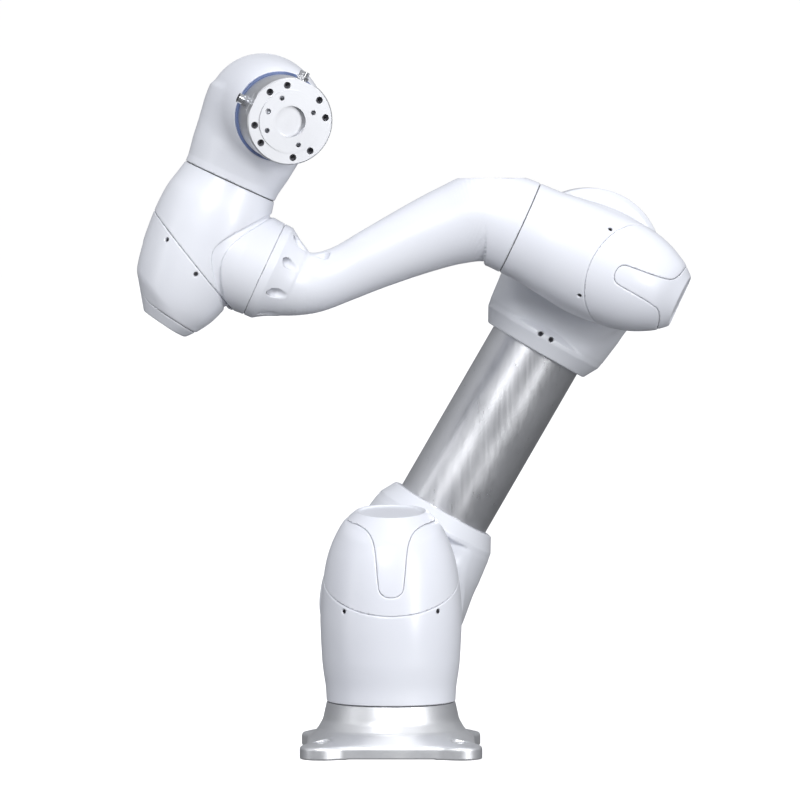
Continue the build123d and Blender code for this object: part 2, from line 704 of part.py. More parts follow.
with BuildPart() as connectors:
    for angle in connector_angles:
        out = FLANGE.x_dir * cos(radians(angle)) + FLANGE.y_dir * sin(radians(angle))
        seat = Plane(
            origin=FLANGE.origin + out * CONNECTOR_SEAT - TOOL * CONNECTOR_BACK, x_dir=TOOL, z_dir=out
        )
        with BuildSketch(seat):
            Circle(5.0)
        extrude(amount=CONNECTOR)
        with BuildSketch(seat.offset(7.2)):
            RegularPolygon(6.6, 6)
            Circle(4.9, mode=Mode.SUBTRACT)
        extrude(amount=3)
        with BuildSketch(seat.offset(CONNECTOR)):
            Circle(3.8)
        extrude(amount=-7, mode=Mode.SUBTRACT)
        with BuildSketch(seat.offset(CONNECTOR - 7)):
            with PolarLocations(1.9, 4):
                Circle(0.5)
        extrude(amount=4.5)
keep(connectors, "tool_io_connectors")
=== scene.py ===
"""Looks of the six-axis collaborative robot arm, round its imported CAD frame."""

from math import cos, radians, sin

import bmesh
import bpy
import numpy as np
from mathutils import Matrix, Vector


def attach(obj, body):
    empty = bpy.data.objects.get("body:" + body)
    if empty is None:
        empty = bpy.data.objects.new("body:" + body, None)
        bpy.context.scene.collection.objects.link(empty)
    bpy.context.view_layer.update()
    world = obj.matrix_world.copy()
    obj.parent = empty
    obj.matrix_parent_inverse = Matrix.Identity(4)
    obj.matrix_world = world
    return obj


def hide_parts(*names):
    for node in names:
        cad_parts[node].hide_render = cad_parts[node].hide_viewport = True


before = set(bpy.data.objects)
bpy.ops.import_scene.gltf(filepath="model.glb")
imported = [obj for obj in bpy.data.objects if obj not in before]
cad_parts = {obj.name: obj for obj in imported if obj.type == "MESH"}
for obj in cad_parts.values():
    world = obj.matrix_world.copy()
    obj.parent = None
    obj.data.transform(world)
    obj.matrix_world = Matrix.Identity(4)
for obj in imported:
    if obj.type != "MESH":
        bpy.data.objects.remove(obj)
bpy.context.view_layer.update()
MM = 0.001

# Frames of the joints, as in the imported CAD model, in millimetres ------------------------------------
UPPER_TILT, FOREARM_TILT, TOOL_TURN = 30.0, 24.8, 15.6


def in_plane(angle):
    return np.array([cos(radians(angle)), 0.0, sin(radians(angle))])


ACROSS = np.array([0.0, 1.0, 0.0])
UP = np.array([0.0, 0.0, 1.0])
UP_ARM = in_plane(90 - UPPER_TILT)
ALONG = in_plane(180 - FOREARM_TILT)
DOWN = in_plane(270 - FOREARM_TILT)
TOOL = -ALONG * sin(radians(TOOL_TURN)) - ACROSS * cos(radians(TOOL_TURN))
SHOULDER = np.array([0.0, 0.0, 145.0])
ELBOW = SHOULDER + UP_ARM * 409.0
WRIST = ELBOW + ALONG * 368.0
DRUM_FACE = 75.0


class Frame:
    """A place with three axes: origin o, x, y and z."""

    def __init__(self, o, x, z):
        self.o = np.array(o, float)
        self.x = np.array(x, float)
        self.z = np.array(z, float)
        self.y = np.cross(self.z, self.x)

    def local(self, p):
        d = p - self.o
        return d @ self.x, d @ self.y, d @ self.z

    def point(self, x, y, z):
        return self.o + self.x * x + self.y * y + self.z * z


J1 = Frame((0, 0, 52), ACROSS, UP)
J2 = Frame(SHOULDER + ACROSS * DRUM_FACE, UP_ARM, ACROSS)
J3 = Frame(ELBOW + ACROSS * DRUM_FACE, -UP_ARM, ACROSS)
J4 = Frame(ELBOW + ALONG * 80.8, ACROSS, -ALONG)
J5 = Frame(WRIST + DOWN * 81.0, -ALONG, DOWN)
J6 = Frame(WRIST + TOOL * 70.0, DOWN, -TOOL)
TOOL_SIDE = ACROSS * sin(radians(TOOL_TURN)) - ALONG * cos(radians(TOOL_TURN))
FLANGE = Frame(WRIST + TOOL * 121.0, TOOL_SIDE, TOOL)
SEAM = 0.8

# Distance fields -------------------------------------------------------------------------------


def smin(a, b, k):
    """The lower of two fields, blended over k."""
    h = np.clip(0.5 + 0.5 * (b - a) / k, 0, 1)
    return b + (a - b) * h - k * h * (1 - h)


def smax(a, b, k):
    return -smin(-a, -b, k)


def spline(points, n=12):
    """Points along a smooth curve through the given ones."""
    p = np.array(points, float)
    p = np.vstack([2 * p[0] - p[1], p, 2 * p[-1] - p[-2]])
    out = []
    for i in range(1, len(p) - 2):
        a, b, c, d = p[i - 1], p[i], p[i + 1], p[i + 2]
        tb = (c - a) / 2
        tc = (d - b) / 2
        lb, lc = np.linalg.norm(c - a), np.linalg.norm(d - b)
        step = np.linalg.norm(c - b)
        tb, tc = (c - a) / lb * step, (d - b) / lc * step
        for t in np.arange(n) / n:
            out.append(
                (2 * t**3 - 3 * t**2 + 1) * b + (t**3 - 2 * t**2 + t) * tb
                + (3 * t**2 - 2 * t**3) * c + (t**3 - t**2) * tc
            )
    out.append(p[-2])
    return [tuple(q) for q in out]


def rounded(corners, n=6):
    """A polyline whose corners (x, y, radius) are rounded; radius 0 leaves one sharp."""
    out = []
    m = len(corners)
    for i, c in enumerate(corners):
        r = c[2] if len(c) > 2 else 0
        p = np.array(c[:2], float)
        if r <= 0 or i in (0, m - 1):
            out.append(tuple(p))
            continue
        a, b = np.array(corners[i - 1][:2], float), np.array(corners[i + 1][:2], float)
        u, v = (a - p) / np.linalg.norm(a - p), (b - p) / np.linalg.norm(b - p)
        half = np.arccos(np.clip(u @ v, -1, 1)) / 2
        cut = min(r / np.tan(half), 0.49 * np.linalg.norm(a - p), 0.49 * np.linalg.norm(b - p))
        for t in np.arange(n + 1) / n:
            out.append(tuple((1 - t) ** 2 * (p + u * cut) + 2 * t * (1 - t) * p + t * t * (p + v * cut)))
    return out


class Profile:
    """The signed distance to a closed outline, kept in a table and read by interpolation."""

    def __init__(self, points, step=0.5, margin=14.0):
        p = np.array(points, float)
        self.lo = p.min(0) - margin
        self.step = step
        size = np.ceil((p.max(0) + margin - self.lo) / step).astype(int) + 2
        gx = self.lo[0] + np.arange(size[0]) * step
        gy = self.lo[1] + np.arange(size[1]) * step
        x, y = np.meshgrid(gx, gy, indexing="ij")
        best = np.full(x.shape, 1e18)
        inside = np.zeros(x.shape, bool)
        for a, b in zip(p, np.roll(p, -1, 0)):
            e = b - a
            le = e @ e
            if le < 1e-12:
                continue
            t = np.clip(((x - a[0]) * e[0] + (y - a[1]) * e[1]) / le, 0, 1)
            best = np.minimum(best, (x - a[0] - t * e[0]) ** 2 + (y - a[1] - t * e[1]) ** 2)
            if a[1] != b[1]:
                cross = a[0] + (y - a[1]) * e[0] / e[1]
                inside ^= ((a[1] > y) != (b[1] > y)) & (x < cross)
        self.table = np.where(inside, -1, 1) * np.sqrt(best)

    def __call__(self, u, v):
        fu = np.clip((u - self.lo[0]) / self.step, 0, self.table.shape[0] - 1.001)
        fv = np.clip((v - self.lo[1]) / self.step, 0, self.table.shape[1] - 1.001)
        i, j = fu.astype(int), fv.astype(int)
        a, b = fu - i, fv - j
        t = self.table
        return (
            t[i, j] * (1 - a) * (1 - b) + t[i + 1, j] * a * (1 - b)
            + t[i, j + 1] * (1 - a) * b + t[i + 1, j + 1] * a * b
        )


def turned(f, profile):
    """A body of revolution about a frame's axis."""

    def field(p):
        x, y, z = f.local(p)
        return profile(np.hypot(x, y), z)

    return field


def mirror_closed(points):
    """An outline from axis to axis, closed with its mirror image, so distances hold at the axis."""
    return [*points, *[(-x, y) for x, y in reversed(points)]]


def cylinder(f, radius, low, high):
    """A round bar about the frame's axis between two heights."""

    def field(p):
        x, y, z = f.local(p)
        return np.maximum(np.hypot(x, y) - radius, np.maximum(low - z, z - high))

    return field


# Meshes out of fields --------------------------------------------------------------------------


def surface(field, lo, hi, h, relax=3):
    """Vertices, quads and normals of the zero surface of a field, in a box, on cells of side h."""
    n = np.ceil((np.array(hi) - np.array(lo)) / h).astype(int) + 1
    lo = np.array(lo, float)
    values = np.empty(n, np.float32)
    gy = lo[1] + np.arange(n[1]) * h
    gz = lo[2] + np.arange(n[2]) * h
    yy, zz = np.meshgrid(gy, gz, indexing="ij")
    slab = 24
    for i in range(0, n[0], slab):
        xs = lo[0] + np.arange(i, min(i + slab, n[0])) * h
        p = np.stack(
            [np.repeat(xs, yy.size), np.tile(yy.ravel(), len(xs)), np.tile(zz.ravel(), len(xs))], 1
        )
        values[i : i + len(xs)] = field(p).reshape(len(xs), n[1], n[2])
    inside = values < 0
    # cells with a change of sign
    total = np.zeros(n - 1, np.int8)
    for dx in (0, 1):
        for dy in (0, 1):
            for dz in (0, 1):
                total += inside[dx : n[0] - 1 + dx, dy : n[1] - 1 + dy, dz : n[2] - 1 + dz]
    active = (total > 0) & (total < 8)
    cells = np.argwhere(active)
    index = np.full(n - 1, -1, np.int64)
    index[tuple(cells.T)] = np.arange(len(cells))
    sums = np.zeros((len(cells), 3))
    count = np.zeros(len(cells))
    for axis in range(3):
        for a in (0, 1):
            for b in (0, 1):
                start = [0, 0, 0]
                others = [k for k in range(3) if k != axis]
                start[others[0]], start[others[1]] = a, b
                end = list(start)
                end[axis] = 1
                va = values[tuple((cells + start).T)]
                vb = values[tuple((cells + end).T)]
                hit = (va < 0) != (vb < 0)
                t = np.where(hit, va / np.where(hit, va - vb, 1), 0)
                place = np.repeat(np.array([start], float), len(cells), 0)
                place[:, axis] = t
                sums += place * hit[:, None]
                count += hit
    v = lo + (cells + sums / count[:, None]) * h
    quads = []
    for axis in range(3):
        others = [k for k in range(3) if k != axis]
        a = np.take(inside, range(0, n[axis] - 1), axis)
        b = np.take(inside, range(1, n[axis]), axis)
        change = a != b
        e = np.argwhere(change)
        e = e[(e[:, others[0]] > 0) & (e[:, others[1]] > 0)]
        e = e[(e[:, others[0]] < n[others[0]] - 1) & (e[:, others[1]] < n[others[1]] - 1)]
        ring = []
        for s, t in ((-1, -1), (0, -1), (0, 0), (-1, 0)):
            c = e.copy()
            c[:, others[0]] += s
            c[:, others[1]] += t
            ring.append(index[tuple(c.T)])
        quad = np.stack(ring, 1)
        out_first = inside[tuple(e.T)]
        flip = out_first if axis != 1 else ~out_first
        quad[~flip] = quad[~flip][:, ::-1]
        quads.append(quad)
    quads = np.concatenate(quads)
    edges = np.concatenate([quads[:, [0, 1]], quads[:, [1, 2]], quads[:, [2, 3]], quads[:, [3, 0]]])

    def slope(p, e=0.25):
        g = np.empty_like(p)
        for k in range(3):
            d = np.zeros(3)
            d[k] = e
            g[:, k] = (field(p + d) - field(p - d)) / (2 * e)
        return g

    for _ in range(relax):
        g = slope(v)
        size = np.maximum((g * g).sum(1), 0.05)
        move = -field(v)[:, None] * g / size[:, None]
        long = np.linalg.norm(move, axis=1)
        v = v + move * np.minimum(1, h / np.maximum(long, 1e-9))[:, None]
        # slide along the surface towards the neighbours' middle
        near = np.zeros_like(v)
        deg = np.zeros(len(v))
        np.add.at(near, edges[:, 0], v[edges[:, 1]])
        np.add.at(near, edges[:, 1], v[edges[:, 0]])
        np.add.at(deg, edges[:, 0], 1)
        np.add.at(deg, edges[:, 1], 1)
        pull = near / np.maximum(deg, 1)[:, None] - v
        unit = g / np.sqrt(size)[:, None]
        pull -= (pull * unit).sum(1)[:, None] * unit
        v = v + 0.5 * pull
    g = slope(v)
    v = v - np.clip(field(v), -h, h)[:, None] * g / np.maximum((g * g).sum(1), 0.2)[:, None]
    g = slope(v)
    normals = g / np.maximum(np.linalg.norm(g, axis=1), 1e-9)[:, None]
    return v, quads, normals


def piece(name, field, lo, hi, h, body, nodes, material, slot):
    """A mesh of a field, riding on a body in place of CAD nodes."""
    v, quads, normals = surface(field, lo, hi, h)
    mesh = bpy.data.meshes.new(name)
    mesh.vertices.add(len(v))
    mesh.vertices.foreach_set("co", (v * MM).astype(np.float32).ravel())
    mesh.loops.add(quads.size)
    mesh.loops.foreach_set("vertex_index", quads.ravel().astype(np.int32))
    mesh.polygons.add(len(quads))
    mesh.polygons.foreach_set("loop_start", np.arange(0, quads.size, 4, dtype=np.int32))
    mesh.update(calc_edges=True)
    mesh.polygons.foreach_set("use_smooth", np.ones(len(quads), bool))
    mesh.normals_split_custom_set_from_vertices(normals.astype(np.float32))
    mesh.materials.append(material)
    made = bpy.data.objects.new(name, mesh)
    bpy.context.scene.collection.objects.link(made)
    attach(made, body)
    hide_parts(*nodes)
    return made

# Materials -------------------------------------------------------------------------------------


class Nodes:
    """A material's node tree, with short ways to add and join nodes."""

    def __init__(self, name):
        self.material = bpy.data.materials.new(name)
        self.material.use_nodes = True
        self.tree = self.material.node_tree
        self.shader = self.tree.nodes["Principled BSDF"]
        self.place = self.add("ShaderNodeTexCoord").outputs["Object"]

    def add(self, kind, **settings):
        node = self.tree.nodes.new(kind)
        for key, value in settings.items():
            setattr(node, key, value)
        return node

    def join(self, a, b):
        self.tree.links.new(a, b)

    def math(self, operation, a, b=0.0):
        node = self.add("ShaderNodeMath", operation=operation)
        for socket, value in zip(node.inputs, (a, b)):
            if isinstance(value, (int, float)):
                socket.default_value = value
            else:
                self.join(value, socket)
        return node.outputs[0]

    def noise(self, scale, detail=3.0, stretch=None, roughness=0.5):
        """Noise at so many lumps a metre, in the frame's own place."""
        node = self.add("ShaderNodeTexNoise")
        node.inputs["Scale"].default_value = scale
        node.inputs["Detail"].default_value = detail
        node.inputs["Roughness"].default_value = roughness
        where = self.place
        if stretch is not None:
            turn = self.add("ShaderNodeMapping")
            turn.inputs["Rotation"].default_value = stretch[0]
            turn.inputs["Scale"].default_value = stretch[1]
            self.join(where, turn.inputs["Vector"])
            where = turn.outputs["Vector"]
        self.join(where, node.inputs["Vector"])
        return node.outputs["Fac"]

    def span(self, value, low, high, out_low, out_high):
        """value carried from one range to another, held at its ends."""
        node = self.add("ShaderNodeMapRange")
        for key, number in zip(
            ("From Min", "From Max", "To Min", "To Max"), (low, high, out_low, out_high)
        ):
            node.inputs[key].default_value = number
        self.join(value, node.inputs["Value"])
        return node.outputs["Result"]

    def colours(self, value, low, high):
        """A colour between two, by value from 0 to 1."""
        node = self.add("ShaderNodeMix", data_type="RGBA")
        node.inputs["A"].default_value = (*low, 1)
        node.inputs["B"].default_value = (*high, 1)
        self.join(value, node.inputs["Factor"])
        return node.outputs["Result"]

    def bump(self, height, distance, strength=1.0, over=None):
        node = self.add("ShaderNodeBump")
        node.inputs["Strength"].default_value = strength
        node.inputs["Distance"].default_value = distance
        self.join(height, node.inputs["Height"])
        if over is not None:
            self.join(over, node.inputs["Normal"])
        return node.outputs["Normal"]

    def radius(self, f):
        """Distance from a frame's axis, in metres."""
        shift = self.add("ShaderNodeVectorMath", operation="SUBTRACT")
        self.join(self.place, shift.inputs[0])
        shift.inputs[1].default_value = tuple(f.o * MM)
        cross = self.add("ShaderNodeVectorMath", operation="CROSS_PRODUCT")
        self.join(shift.outputs["Vector"], cross.inputs[0])
        cross.inputs[1].default_value = tuple(f.z)
        size = self.add("ShaderNodeVectorMath", operation="LENGTH")
        self.join(cross.outputs["Vector"], size.inputs[0])
        return size.outputs["Value"]


def painted(name, light, dark, rough, peel):
    """Satin paint: faint orange peel, handling marks in the gloss, slight change of tone, and a painted
    highlight that lightens convex edges.
    """
    m = Nodes(name)
    broad = m.noise(7.0, 2.0)
    smudge = m.noise(38.0, 4.0)
    tone = m.span(broad, 0.35, 0.65, 0.0, 1.0)
    # painted highlight: convex edges (high pointiness) are mixed towards near-white
    edge = m.add("ShaderNodeNewGeometry").outputs["Pointiness"]
    edge_highlight = m.span(edge, 0.52, 0.6, 0.0, 1.0)
    base = m.colours(tone, dark, light)
    mixed = m.add("ShaderNodeMix", data_type="RGBA")
    m.join(m.math("MULTIPLY", edge_highlight, 0.35), mixed.inputs["Factor"])
    m.join(base, mixed.inputs["A"])
    # near-white colour of the painted edge highlight
    mixed.inputs["B"].default_value = (0.93, 0.935, 0.95, 1)
    m.join(mixed.outputs["Result"], m.shader.inputs["Base Color"])
    m.join(m.span(smudge, 0.3, 0.7, rough - 0.035, rough + 0.05), m.shader.inputs["Roughness"])
    m.join(m.bump(m.noise(900.0, 2.0), 0.00002, peel), m.shader.inputs["Normal"])
    m.shader.inputs["Coat Weight"].default_value = 0.25
    m.shader.inputs["Coat Roughness"].default_value = 0.18
    return m.material


def metal(name, light, dark, rough, scale, bump_depth, stretch=None, metallic=0.95, turned_about=None):
    """Metal with a grain: cast, drawn along a direction, or turned about an axis."""
    m = Nodes(name)
    if turned_about is not None:
        rings = m.add("ShaderNodeTexNoise", noise_dimensions="1D")
        rings.inputs["Scale"].default_value = scale
        rings.inputs["Detail"].default_value = 4.0
        m.join(m.radius(turned_about), rings.inputs["W"])
        grain = rings.outputs["Fac"]
    else:
        grain = m.noise(scale, 4.0, stretch, 0.6)
    stain = m.noise(22.0, 3.0)
    m.join(m.colours(m.span(stain, 0.3, 0.7, 0.0, 1.0), dark, light), m.shader.inputs["Base Color"])
    wear = m.math(
        "ADD", m.span(grain, 0.25, 0.75, rough - 0.06, rough + 0.06), m.span(stain, 0.3, 0.7, -0.02, 0.03)
    )
    m.join(wear, m.shader.inputs["Roughness"])
    m.join(m.bump(grain, bump_depth, 0.6), m.shader.inputs["Normal"])
    m.shader.inputs["Metallic"].default_value = metallic
    return m.material


def plastic(name, light, dark, rough, scale=600.0, depth=0.00003):
    """Moulded plastic or rubber with a fine texture."""
    m = Nodes(name)
    fine = m.noise(scale, 3.0)
    m.join(m.colours(m.noise(60.0, 3.0), dark, light), m.shader.inputs["Base Color"])
    m.join(m.span(fine, 0.3, 0.7, rough - 0.06, rough + 0.08), m.shader.inputs["Roughness"])
    m.join(m.bump(fine, depth, 0.7), m.shader.inputs["Normal"])
    return m.material


SHELL = painted("shell_paint", (0.80, 0.82, 0.88), (0.77, 0.79, 0.86), 0.36, 0.5)
CASTING = painted("casting_paint", (0.76, 0.78, 0.83), (0.73, 0.75, 0.81), 0.40, 0.8)
BASE_METAL = metal("bare_casting", (0.82, 0.83, 0.85), (0.74, 0.75, 0.78), 0.45, 420.0, 0.00003)
TUBE_METAL = metal(
    "drawn_tube", (0.80, 0.81, 0.84), (0.72, 0.73, 0.76), 0.32, 260.0, 0.00002,
    stretch=((0, radians(-UPPER_TILT), 0), (1, 1, 0.02)),
)
FLANGE_METAL = metal(
    "turned_flange", (0.68, 0.69, 0.72), (0.62, 0.63, 0.66), 0.46, 900.0, 0.000006, turned_about=FLANGE
)
STEEL = metal("drive_steel", (0.5, 0.5, 0.52), (0.38, 0.38, 0.4), 0.38, 500.0, 0.00003)
WINDING = metal("winding", (0.45, 0.24, 0.1), (0.3, 0.15, 0.06), 0.45, 700.0, 0.0001, metallic=0.4)
RUBBER = plastic("seal_rubber", (0.05, 0.05, 0.055), (0.03, 0.03, 0.035), 0.7)
SCREW = metal("dark_screw", (0.10, 0.10, 0.11), (0.05, 0.05, 0.06), 0.42, 900.0, 0.00003, metallic=0.7)
BLACK = plastic("moulded_black", (0.05, 0.05, 0.055), (0.03, 0.03, 0.035), 0.5)
NICKEL = metal("nickel", (0.78, 0.79, 0.82), (0.66, 0.67, 0.7), 0.2, 800.0, 0.00001, metallic=1.0)


def light_ring():
    m = Nodes("light_ring_lens")
    m.join(
        m.colours(m.noise(90.0, 3.0), (0.10, 0.14, 0.28), (0.13, 0.18, 0.33)),
        m.shader.inputs["Base Color"],
    )
    m.join(m.span(m.noise(500.0, 2.0), 0.3, 0.7, 0.25, 0.4), m.shader.inputs["Roughness"])
    m.shader.inputs["Emission Color"].default_value = (0.35, 0.42, 0.8, 1)
    m.shader.inputs["Emission Strength"].default_value = 0.06
    return m.material


LIGHT = light_ring()

FINISH = [
    ("base_casting", BASE_METAL), ("base_cable_socket", BLACK), ("arm_tube", TUBE_METAL),
    ("arm_end", CASTING), ("forearm_link_screws", SCREW), ("clamp_screws", SCREW),
    ("cover_screws", SCREW), ("tool_flange_screws", SCREW), ("tool_flange", FLANGE_METAL),
    ("tool_io_connectors", NICKEL), ("status_light_ring", LIGHT), ("seal", RUBBER),
    ("stator", WINDING), ("rotor", STEEL), ("hub", STEEL), ("gear", STEEL),
]
for node_name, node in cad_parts.items():
    chosen = next((m for key, m in FINISH if key in node_name), SHELL)
    node.data.materials.clear()
    node.data.materials.append(chosen)

# Barrel housings -------------------------------------------------------------------------------
WALL = 4.0
GAP = 0.12


def shifted(field, by):
    return lambda p: field(p) + by


def both(a, b, k):
    return lambda p: smax(a(p), b(p), k)


def without(a, b, k):
    return lambda p: smax(a(p), -b(p), k)


def box_round(f, low, high, sides):
    """Corners of a box round a bar on a frame's axis, for the meshing grid."""
    corners = [
        f.point(x, y, z) for x in sides[0] for y in sides[1] for z in (low, high)
    ]
    return np.min(corners, 0), np.max(corners, 0)


def joined(*boxes):
    return np.min([b[0] for b in boxes], 0) - 3, np.max([b[1] for b in boxes], 0) + 3


def bullet(f, outline, corner, rim, end, lean):
    """A swelling round housing whose end is faced off by a leaning cone with a sunk disc."""
    body = Profile(mirror_closed([(0, 0), *outline, (0, outline[-1][1] + 12)]))
    c, s = cos(radians(lean)), sin(radians(lean))
    tip = Frame(f.point(0, 0, end), f.x * c + f.z * s, f.z * c - f.x * s)
    corner_r, corner_z = corner
    slope = (end - corner_z) / (corner_r - rim)
    cone = Profile(
        mirror_closed(
            rounded(
                [(0, -260), (corner_r + 60, -260), (corner_r + 60, -(corner_r + 60 - rim) * slope),
                 (rim + 1.5, -1.5 * slope, 0), (rim, 0, 2), (rim - 2.5, 0, 2), (rim - 4.5, -2.2, 2),
                 (0, -2.2)]
            )
        ),
        step=1.0,
    )
    return both(turned(f, body), turned(tip, cone), 1.6), tip


def tongue_region(f, outline, corner_z, tip):
    """Below zero in the end cap's share of a housing: past the corner, and in a tongue."""
    shape = Profile([*outline, *[(-y, z) for y, z in reversed(outline)]], step=0.5, margin=30)

    def field(p):
        x, y, z = f.local(p)
        tongue = np.maximum(shape(y, z), x + 8)
        past = -(tip.local(p)[2] + corner_z)
        return np.minimum(tongue, past)

    return field


def barrel_pieces(name, body, f, outline, corner, rim, end, lean, boss, blend, cut, slant, tongue,
                  seat_r, boxes, holes=(), groove=0.0, hub=None):
    """The housing, cover and cap of one joint, meshed from one shape with seams between them."""
    round_part, tip = bullet(f, outline, corner, rim, end, lean)

    def full(p):
        a, b = round_part(p), boss(p)
        made = smin(a, b, blend)
        if groove > 0:
            made = smax(made, groove - np.sqrt(a * a + b * b), 1.5)
        return made

    cap_share = tongue_region(f, tongue, end - corner[1], tip)
    front = outline[len(outline) // 2][0]
    n = f.z * cos(radians(slant)) - f.x * sin(radians(slant))
    at = f.point(-front, 0, cut)

    def above(p):
        return -((p - at) @ n)

    room = cylinder(f, seat_r, -2, 8)

    def shell(p):
        whole = full(p)
        return np.maximum(whole, -(whole + WALL))

    def opened(p):
        made = smax(shell(p), -room(p), 0.8)
        for place, radius in holes:
            made = smax(made, -place(p, radius), 0.6)
        return made if hub is None else smax(made, -hub(p), 0.5)

    h = 1.6
    lo, hi = boxes
    housing = both(opened, lambda p: -above(p) + GAP, 1.0)
    piece(f"{name}_housing_shell", housing, lo, hi, h, body, [f"{name}_housing"], SHELL, "painted_casting")
    top = both(both(opened, lambda p: above(p) + GAP, 1.0), lambda p: -cap_share(p) + GAP, 1.3)
    piece(f"{name}_cover_shell", top, lo, hi, h, body, [f"{name}_cover"], SHELL, "white_shell")
    lid = both(shifted(shell, 0.5), lambda p: cap_share(p) + GAP, 1.0)
    piece(f"{name}_cap_shell", lid, lo, hi, h, body, [f"{name}_cap"], SHELL, "white_shell")


def screw_well(f, angle, height, radius):
    """The hole of a sunk cover screw, at an angle from the side away from the link."""
    out = f.y * sin(radians(angle)) - f.x * cos(radians(angle))
    place = Frame(f.point(0, 0, height) + out * radius, f.z, out)

    def field(p, r):
        x, y, z = place.local(p)
        return np.maximum(np.hypot(x, y) - r, np.abs(z) - 6)

    return field, 2.3


def boss_bar(o, axis, across, outline):
    """A boss about an axis. outline is (distance along it, radius)."""
    f = Frame(o, across, axis)
    pts = [(0, outline[0][0]), *[(r, z) for z, r in outline], (0, outline[-1][0])]
    return turned(f, Profile(mirror_closed(pts), step=0.5))


def hub_room(f, radius):
    return cylinder(f, radius, -12, 2)


# shoulder
barrel_pieces(
    "shoulder", "shoulder", J1,
    spline([(65.6, 0), (66.6, 15), (68.8, 30), (70.2, 43), (71.7, 77), (70.8, 104), (68.6, 127),
            (64.2, 149), (56.5, 169), (45.0, 188), (36.0, 198)]),
    (47.0, 185.0), 36.0, 194.0, 8.0,
    boss_bar(SHOULDER, ACROSS, UP, [(0, 61.0), (40, 61.5), (DRUM_FACE - SEAM, 62.0)]), 16.0, 91.0, 27.0,
    spline([(0, 109.6), (7, 111.2), (11.6, 116), (13.4, 127), (15.2, 147), (17.6, 163), (23, 174),
            (34, 181), (49, 185), (70, 187)], 6) + [(70, 260), (0, 260)],
    57.0, joined(
        box_round(J1, 0, 205, ((-76, 76), (-76, 76))),
        (np.array([-64, 0, 80]), np.array([64, 76, 210])),
    ),
    holes=[screw_well(J1, a, 95, 71.6) for a in (42, -42)],
    hub=hub_room(Frame(SHOULDER + ACROSS * DRUM_FACE, UP, ACROSS), 40.5),
)
# elbow
barrel_pieces(
    "elbow", "elbow", J4,
    spline([(49.6, 0), (50.6, 22), (53.4, 45), (55.5, 78), (55.8, 104), (54.0, 125), (48.5, 145),
            (41.0, 161), (34, 172), (28, 180)]),
    (37.5, 170.0), 27.5, 179.0, 8.0,
    boss_bar(ELBOW, ACROSS, UP_ARM, [(0, 50.0), (40, 51.0), (60, 53.0), (DRUM_FACE - SEAM, 56.0)]),
    16.0, 77.0, 37.0,
    spline([(0, 104), (6, 105.5), (9.8, 110), (11.2, 120), (12.4, 135), (14.2, 150), (17.0, 160),
            (24.5, 165.5), (36, 168.5), (60, 171)], 6) + [(60, 230), (0, 230)],
    41.0, joined(
        box_round(J4, 0, 186, ((-60, 60), (-60, 60))),
        (ELBOW + np.array([-58, 0, -58]), ELBOW + np.array([58, 76, 58])),
    ),
    holes=[screw_well(J4, a, 82, 55.6) for a in (42, -42)],
    hub=hub_room(J3, 38.5),
)
# wrist
WRIST_SIDE = WRIST + DOWN * 147.0
barrel_pieces(
    "wrist", "forearm", J5,
    spline([(49.6, 0), (52.8, 14), (56.0, 28), (57.3, 45), (57.2, 62), (54.9, 90), (50.4, 115),
            (43.5, 136), (34, 152), (26, 162)]),
    (35.5, 149.0), 25.0, 160.0, 9.0,
    boss_bar(WRIST_SIDE, -ALONG, ACROSS, [(0, 52.5), (38, 52.5), (44, 52.6), (69.0, 50.5)]),
    3.0, 59.0, 27.0,
    spline([(0, 92), (6, 93.5), (9.6, 98), (11, 108), (12, 120), (14, 132), (18, 140), (26, 145),
            (36, 148), (60, 150)], 6) + [(60, 220), (0, 220)],
    41.0, joined(
        box_round(J5, 0, 168, ((-61, 61), (-61, 61))),
        box_round(Frame(WRIST_SIDE, ACROSS, -ALONG), 0, 70, ((-55, 55), (-55, 55))),
    ),
    holes=[
        screw_well(J5, a, z, r)
        for a, z, r in ((55, 79, 55.6), (-55, 79, 55.6), (100, 98, 53.2), (-100, 98, 53.2))
    ],
    groove=1.6,
)
# head
barrel_pieces(
    "head", "head", J6,
    spline([(46.0, 0), (49.5, 12), (52.8, 30), (55.4, 55), (55.8, 78), (51.2, 98), (43, 113),
            (35, 124), (30, 131)]),
    (38.0, 121.0), 27.0, 130.0, 8.0,
    boss_bar(
        WRIST, DOWN, ACROSS,
        [(0, 57.0), (14, 57.0), (30, 56.0), (55, 53.0), (72, 49.9), (81.0 - SEAM, 49.5)],
    ),
    10.0, 66.0, 24.0,
    spline([(0, 90), (6, 91.5), (9.6, 95), (11, 100), (13, 107), (18, 112), (28, 117), (40, 120),
            (60, 122)], 6)
    + [(60, 190), (0, 190)],
    41.0, joined(
        box_round(J6, 0, 137, ((-60, 60), (-60, 60))),
        box_round(Frame(WRIST, ACROSS, DOWN), 0, 82, ((-60, 60), (-60, 60))),
    ),
    hub=hub_room(J5, 28.5),
)

# Upper arm ends --------------------------------------------------------------------------------


